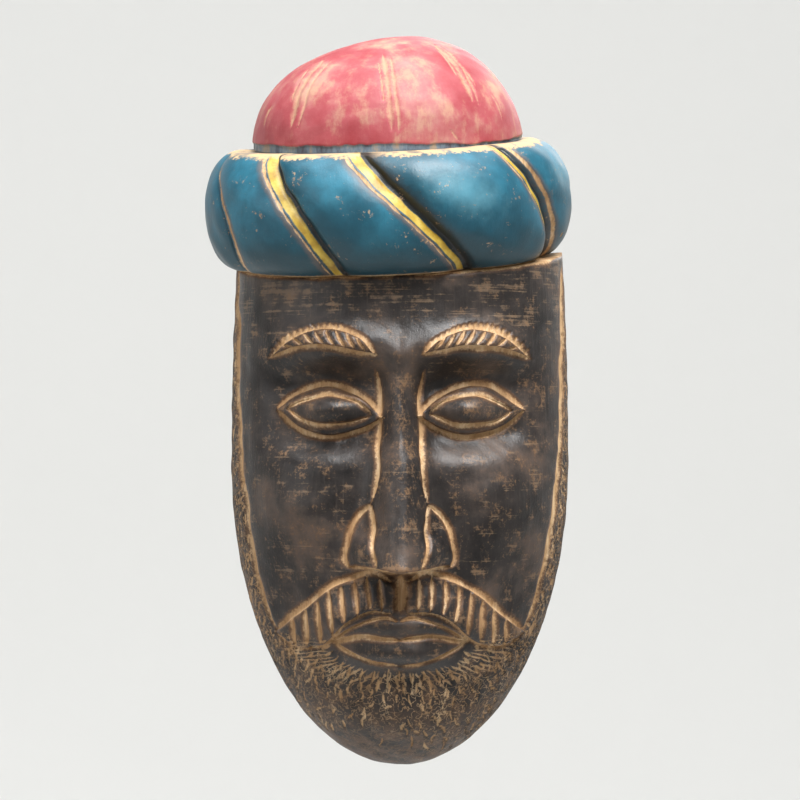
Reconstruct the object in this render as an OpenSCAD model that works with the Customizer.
// Carved wooden wall mask: a bearded head in a wrapped turban with a domed cap.
// Three carved blocks are pegged and glued together at the top and the foot of the turban.
// A strap hanger with a swinging ring is screwed into a pocket behind the turban.
// +Z is up, the face looks along -Y, the wall is the plane y = 0 and the origin is the nail.

/* [Face block] */
// Width of the head at the cheekbones
head_w = 140; // [130:1:146]
// Depth of the cheeks in front of the wall
head_d = 57; // [54:1:62]
// Height from the chin to the foot of the turban, down the front
face_h = 200; // [192:1:206]
// Height of the widest place above the chin, where the long oval of the jaw ends
jaw_h = 125; // [110:1:135]
// How far the tip of the nose stands proud of the face
nose_proud = 22; // [14:1:26]
// Depth of the eye sockets
socket_depth = 11; // [6:1:12]

/* [Turban] */
// Width of the turban over its rolls
turban_w = 152; // [146:1:160]
// Depth of the turban in front of the wall
turban_d = 75; // [72:1:82]
// Height of the turban between its two seams
turban_h = 48; // [46:1:52]
// Height of the turban's middle above the chin, at the wall
turban_z = 234; // [230:1:238]
// Angle by which the front of the turban dips
turban_lean = 9.3; // [6:0.1:11]
// Angle by which the wearer's left end of the turban is lifted
turban_slope = 2.5; // [0:0.1:4]
// Sideways shift of the turban and the cap
turban_shift = -5; // [-6:0.5:0]
// How far the rolls bulge past the seam above them
bulge_top = 15; // [10:1:17]
// How far the rolls bulge past the seam below them
bulge_foot = 12; // [8:1:13]
// Depth of the valleys between the rolls
valley_depth = 4.5; // [2:0.5:6]
// Angles round the turban of the valleys' upper ends
valley_top = [-118, -82, -45, -10, 45, 96];
// Angles round the turban of the valleys' lower ends
valley_foot = [-100, -61, -17, 28, 71, 120];

/* [Cap] */
// Width of the cap where it leaves the turban
cap_w = 112; // [106:1:116]
// Depth of the cap in front of the wall
cap_d = 58; // [54:1:60]
// Height of the cap's crown above the chin
cap_top = 302; // [294:1:304]
// How far the cap's crown leans towards the turban's lifted end
cap_lean = 9; // [0:1:10]

/* [Hollow] */
// Greatest radius of the hollow scooped out behind the face
hollow_r = 54; // [48:1:55]
// Distance of the hollow's axis behind the wall plane
hollow_back = 17; // [16:1:22]
// Height of the hollow's lower end above the chin
hollow_foot = 16; // [14:1:24]
// Height of the hollow's upper end above the chin
hollow_top = 176; // [170:1:178]

/* [Pegs] */
// Diameter of a wooden peg
peg_d = 8; // [6:0.5:9]
// Length of a wooden peg, half of it in each block
peg_l = 28; // [20:1:30]
// Distance of a peg from the middle of the turban
peg_x = 30; // [26:1:34]
// Distance of a peg from the wall
peg_y = 30; // [24:1:34]

/* [Hanger] */
// Height of the nail above the chin
nail_h = 247.5; // [246.5:0.5:248.5]
// Thickness of the ring's wire
wire_d = 2; // [1.8:0.1:2.2]
// Inside width of the ring
ring_w = 14; // [14:0.5:16]
// Inside height of the ring
ring_h = 10; // [9:0.5:10.5]
// Width of the strap
strap_w = 12; // [10:0.5:12]
// Thickness of the strap's sheet metal, which is folded double
strap_t = 1; // [0.8:0.1:1]
// Length of the strap below the ring's bar
strap_l = 21; // [20:0.5:22]
// Diameter of the screws' shanks
screw_d = 3.5; // [3:0.1:4]
// Length of the screws' shanks, from under the head
screw_l = 16; // [12:1:20]

/* [Hidden] */
$fn = 64;

// Face proportions: three equal thirds from the chin up, with the turban over two thirds of the forehead.
third = face_h * 3 / 7;
nose_z = third;
brow_z = 2 * third;
mouth_z = third * 2 / 3;
eye_z = third * 1.72;
eye_x = head_w / 5;
oval_power = 2.5;
profile_power = 2.6;
top_narrowing = 0.045;
top_thinning = 0.03;
bridge_proud = 3;
nose_power = 2.6;
root_drop = 4;
head_top = 222;
behind = 6;
columns = 44;
jaw_rows = 38;
cheek_rows = 22;
first_angle = 3;

// Turban and cap
turban_columns = 66;
turban_rows = 14;
cap_columns = 36;
cap_rows = 14;
cap_drop = 24;
crown_power = 1.05;
valley_bow = [0, 10, 3, 0, 0, 0];
roll_power = 2.1;
valley_power = 4;
turban_roundness = 0.85;
cap_roundness = 0.9;
lean_power = 4;
tip_share = 0.03;
reach = 400;

// Hanger
running_gap = 0.06;
wire_r = wire_d / 2;
roll_in = wire_r + running_gap;
roll_out = roll_in + strap_t;
nail_r = 1.5;
bar_z = nail_r - ring_h - wire_r;
pocket_floor = -7;
pocket_w = 26;
pocket_top = 6.5;
pocket_foot = -34.5;
nail_room = 4;
nail_room_foot = -7;
bar_y = pocket_floor + roll_out;
bend_r = 1.5;
screw_head_r = 3;
screw_head_t = 1.9;
slot_w = 0.8;
slot_depth = 0.9;
screw_z = [bar_z - 7, bar_z - 16.5];

assert(len(valley_top) == len(valley_foot), "each valley has two ends");

// A smooth bump of height 1 at (0, 0) that has sunk to 1/e at the distances sx and sz.
function bump(x, z, sx, sz) = exp(-pow(x / sx, 2) - pow(z / sz, 2));

// The same with a flat top and steeper sides, for a hollow with an edge.
function basin(x, z, sx, sz) = exp(-pow(x / sx, 4) - pow(z / sz, 4));

// Half the width of the head: half an ellipse up to the cheekbones, then nearly straight.
function head_half(z) = z < jaw_h
    ? head_w / 2 * sqrt(max(0, 1 - pow(1 - z / jaw_h, 2)))
    : head_w / 2 * (1 - top_narrowing * pow((z - jaw_h) / (head_top - jaw_h), 2));

// Depth of the head down the middle, before the features are added.
function head_depth(z) = z < jaw_h
    ? head_d * sqrt(max(0, 1 - pow(1 - z / jaw_h, profile_power)))
    : head_d * (1 - top_thinning * pow((z - jaw_h) / (head_top - jaw_h), 2));

// How far the nose stands proud: a ridge that grows from the brow to the tip and ends in a flat underside.
function nose(x, z) =
    let (root_z = brow_z - root_drop,
         down = (root_z - z) / (root_z - nose_z),
         grow = max(0, min(1, down)),
         under = z < nose_z ? exp(-pow((z - nose_z) / 2.5, 2)) : 1,
         over = down < 0 ? exp(-pow(down / 0.08, 2)) : 1,
         ridge = bridge_proud + (nose_proud - bridge_proud) * pow(grow, 1.25))
    ridge * under * over * exp(-pow(abs(x) / (6 + 6 * grow), nose_power));

// How far the features stand proud of the head at x, z. Every one of them is the same on both sides.
// In order: nose, its wings, brow ridge, sockets, eyeballs, cheekbones, hollow cheeks, the mouth's mound,
// the moustache, both lips, the dip below them and the chin.
function features(x, z) =
    let (side = abs(x))
    nose(x, z)
    + 7 * bump(side - 15, z - nose_z - 6, 5.5, 7)
    + 6 * bump(side - 27, z - brow_z - 1, 30, 8)
    - socket_depth * basin(side - eye_x, z - eye_z - 1, 24, 17)
    + 10 * bump(side - eye_x, z - eye_z, 15, 8.5)
    + 5 * bump(side - 42, z - nose_z - 24, 17, 20)
    - 4 * bump(side - 44, z - mouth_z - 12, 13, 22)
    + 6 * bump(x, z - mouth_z, 36, 24)
    + 3 * bump(side - 20, z - mouth_z - 17 + side / 3, 22, 8)
    + 3 * bump(x, z - mouth_z - 5, 20, 4)
    + 4 * bump(x, z - mouth_z + 6, 18, 5)
    - 2.5 * bump(x, z - mouth_z + 16, 18, 5)
    + 6 * bump(x, z - third / 4, 24, 12);

// One level of the head: left to right across the front, then back behind the wall plane.
function head_ring(z) =
    let (w = head_half(z), d = head_depth(z))
    concat(
        [for (j = [0 : columns])
            let (u = sin(180 * j / columns - 90),
                 x = w * u,
                 front = d * sqrt(max(0, 1 - pow(abs(u), oval_power))))
            [x, -front - features(x, z) * (1 - pow(abs(u), 6)) * min(1, w / 30), z]],
        [[w, behind, z], [-w, behind, z]]);

head_levels = concat(
    [for (i = [0 : jaw_rows - 1]) jaw_h * (1 - cos(first_angle + (90 - first_angle) * i / jaw_rows))],
    [for (i = [0 : cheek_rows]) jaw_h + (head_top - jaw_h) * i / cheek_rows]);

// Where an angle round the turban lies between its two neighbouring valleys, from 0 to 1.
function between(angle, edges, i = 0) =
    i > len(edges) - 2 || angle < edges[0] ? 0.5
    : angle <= edges[i + 1] ? (angle - edges[i]) / (edges[i + 1] - edges[i])
    : between(angle, edges, i + 1);

// One level of the turban, at a height of s from -1 at its foot to 1 at its top.
function turban_ring(s, level) =
    let (edges = [for (i = [0 : len(valley_top) - 1])
             valley_foot[i] + (valley_top[i] - valley_foot[i]) * (s + 1) / 2 + valley_bow[i] * (1 - s * s)],
         bulge = s > 0 ? bulge_top : bulge_foot,
         out = bulge * (sqrt(max(0, 1 - pow(abs(s), roll_power))) - 1))
    concat(
        [for (j = [0 : turban_columns])
            let (angle = 180 * j / turban_columns - 90,
                 p = between(angle, edges),
                 valley = valley_depth * pow(abs(2 * p - 1), valley_power),
                 w = turban_w / 2 + out - valley,
                 d = turban_d + out - valley)
            [w * sin(angle), -d * pow(cos(angle), turban_roundness), level]],
        [[turban_w / 2 + out - valley_depth / 2, 2 * behind, level],
         [-turban_w / 2 - out + valley_depth / 2, 2 * behind, level]]);

// One level of the cap: half an oval that shrinks and moves sideways towards the crown.
function cap_ring(shrink, z, lean) =
    concat(
        [for (j = [0 : cap_columns])
            let (angle = 180 * j / cap_columns - 90)
            [lean + shrink * cap_w / 2 * sin(angle), -shrink * cap_d * pow(cos(angle), cap_roundness), z]],
        [[lean + shrink * cap_w / 2, behind, z], [lean - shrink * cap_w / 2, behind, z]]);

// A closed solid through a stack of rings, each counter-clockwise from above.
module ring_solid(rings) {
    n = len(rings[0]);
    m = len(rings);
    polyhedron(
        points = [for (r = rings) each r],
        faces = concat(
            [[for (j = [0 : n - 1]) j]],
            [[for (j = [n - 1 : -1 : 0]) (m - 1) * n + j]],
            [for (i = [0 : m - 2], j = [0 : n - 1])
                let (k = (j + 1) % n)
                each [[i * n + j, (i + 1) * n + j, (i + 1) * n + k],
                      [i * n + j, (i + 1) * n + k, i * n + k]]]));
}

// Everything carved is drawn with its height measured from the chin.
module from_chin() {
    translate([0, 0, -nail_h]) children();
}

// The turban's own frame: its middle at the wall, dipped at the front and lifted at one end.
module turban_frame() {
    translate([turban_shift, 0, turban_z]) rotate([turban_lean, -turban_slope, 0]) children();
}

// The half of space in front of the wall.
module in_front() {
    translate([-reach / 2, -reach, -reach / 4]) cube([reach, reach, reach * 1.5]);
}

// Two pegs that cross a seam at a height in the turban's frame.
module peg_pair(seam) {
    for (side = [-1, 1])
        turban_frame()
            translate([side * peg_x, -peg_y, seam - peg_l / 2])
                cylinder(d = peg_d, h = peg_l);
}

// The hollow behind the face: a spindle turned about an upright axis behind the wall plane.
module hollow() {
    half = (hollow_top - hollow_foot) / 2;
    arc_r = (half * half + hollow_r * hollow_r) / (2 * hollow_r);
    translate([0, hollow_back, hollow_foot + half])
        rotate_extrude($fn = 96)
            intersection() {
                translate([hollow_r - arc_r, 0]) circle(r = arc_r, $fn = 180);
                translate([0, -half]) square([hollow_r + 1, 2 * half]);
            }
}

// The pocket that the hanger is screwed into, deeper behind the ring for the nail's head.
module pocket() {
    tall = pocket_top - pocket_foot;
    translate([-pocket_w / 2, pocket_floor, pocket_foot]) cube([pocket_w, -pocket_floor + 1, tall]);
    translate([-pocket_w / 2, pocket_floor - nail_room, nail_room_foot])
        cube([pocket_w, nail_room + 1, pocket_top - nail_room_foot]);
}

module screw_holes(r) {
    for (z = screw_z)
        translate([0, pocket_floor + 2 * strap_t, z]) rotate([90, 0, 0]) cylinder(r = r, h = screw_l);
}

module face_block() {
    color("#2b2422")
        from_chin()
            difference() {
                intersection() {
                    ring_solid([for (z = head_levels) head_ring(z)]);
                    in_front();
                    turban_frame()
                        translate([-reach / 2, -reach / 2, -turban_h / 2 - reach]) cube(reach);
                }
                hollow();
                peg_pair(-turban_h / 2);
            }
}

module turban_block() {
    slab = turban_h / 2;
    color("#1f6079")
        difference() {
            from_chin()
                intersection() {
                    turban_frame()
                        ring_solid([for (i = [-1 : turban_rows + 1])
                            let (s = max(-1, min(1, 2 * i / turban_rows - 1)),
                                 level = slab * (2 * i / turban_rows - 1))
                            turban_ring(s, level)]);
                    turban_frame()
                        translate([-reach / 2, -reach / 2, -slab]) cube([reach, reach, 2 * slab]);
                    in_front();
                }
            from_chin() peg_pair(-slab);
            from_chin() peg_pair(slab);
            pocket();
            screw_holes(screw_d / 2);
        }
}

module cap_block() {
    waist = turban_z + turban_h / 2;
    color("#c94750")
        from_chin()
            difference() {
                intersection() {
                    translate([turban_shift, 0, 0])
                        ring_solid(concat(
                            [cap_ring(1, waist - cap_drop, 0)],
                            [for (i = [0 : cap_rows])
                                let (angle = 90 * i / cap_rows)
                                cap_ring(max(tip_share, pow(cos(angle), crown_power)),
                                         waist + (cap_top - waist) * sin(angle),
                                         cap_lean * pow(sin(angle), lean_power))]));
                    turban_frame()
                        translate([-reach / 2, -reach / 2, turban_h / 2]) cube(reach);
                    in_front();
                }
                peg_pair(turban_h / 2);
            }
}

module face_pegs() {
    color("#c79a63") from_chin() peg_pair(-turban_h / 2);
}

module cap_pegs() {
    color("#c79a63") from_chin() peg_pair(turban_h / 2);
}

// A strip folded round the ring's bar and laid double on the pocket's floor.
module hanger_strap() {
    color("#b9bbb8")
        difference() {
            translate([-strap_w / 2, bar_y, bar_z])
                rotate([90, 0, 90])
                    linear_extrude(strap_w)
                        difference() {
                            union() {
                                circle(r = roll_out);
                                translate([-roll_out, -strap_l]) square([2 * strap_t, strap_l]);
                            }
                            circle(r = roll_in);
                        }
            screw_holes(screw_d / 2);
        }
}

// A D of round wire: a straight bar in the strap's roll, two bends, two short legs and half a circle.
module hanger_ring() {
    arc_r = ring_w / 2 + wire_r;
    leg = ring_h + 2 * wire_r - bend_r - arc_r;
    bar_half = arc_r - bend_r;
    color("#c3c4c1")
        translate([0, bar_y, bar_z])
            rotate([90, 0, 0]) {
                translate([-bar_half, 0, 0]) rotate([0, 90, 0]) cylinder(r = wire_r, h = 2 * bar_half);
                for (side = [0, 1])
                    mirror([side, 0, 0]) {
                        translate([bar_half, bend_r, 0])
                            rotate([0, 0, -90])
                                rotate_extrude(angle = 90) translate([bend_r, 0]) circle(r = wire_r);
                        translate([arc_r, bend_r, 0]) rotate([-90, 0, 0]) cylinder(r = wire_r, h = leg);
                    }
                translate([0, bend_r + leg, 0])
                    rotate_extrude(angle = 180) translate([arc_r, 0]) circle(r = wire_r);
            }
}

// Round-headed wood screws with a straight slot.
module hanger_screws() {
    ball_r = (screw_head_r * screw_head_r + screw_head_t * screw_head_t) / (2 * screw_head_t);
    color("#a8a9a6")
        for (z = screw_z)
            translate([0, pocket_floor + 2 * strap_t, z])
                rotate([90, 0, 0]) {
                    cylinder(d = screw_d, h = screw_l - screw_d);
                    translate([0, 0, screw_l - screw_d])
                        cylinder(d1 = screw_d, d2 = 0.6, h = screw_d);
                    difference() {
                        translate([0, 0, -screw_head_t])
                            rotate_extrude()
                                intersection() {
                                    translate([0, ball_r]) circle(r = ball_r, $fn = 120);
                                    square([screw_head_r, screw_head_t]);
                                }
                        translate([-screw_head_r - 1, -slot_w / 2, -screw_head_t - 1])
                            cube([2 * screw_head_r + 2, slot_w, slot_depth + 1]);
                    }
                }
}

face_block();
turban_block();
cap_block();
face_pegs();
cap_pegs();
hanger_strap();
hanger_ring();
hanger_screws();
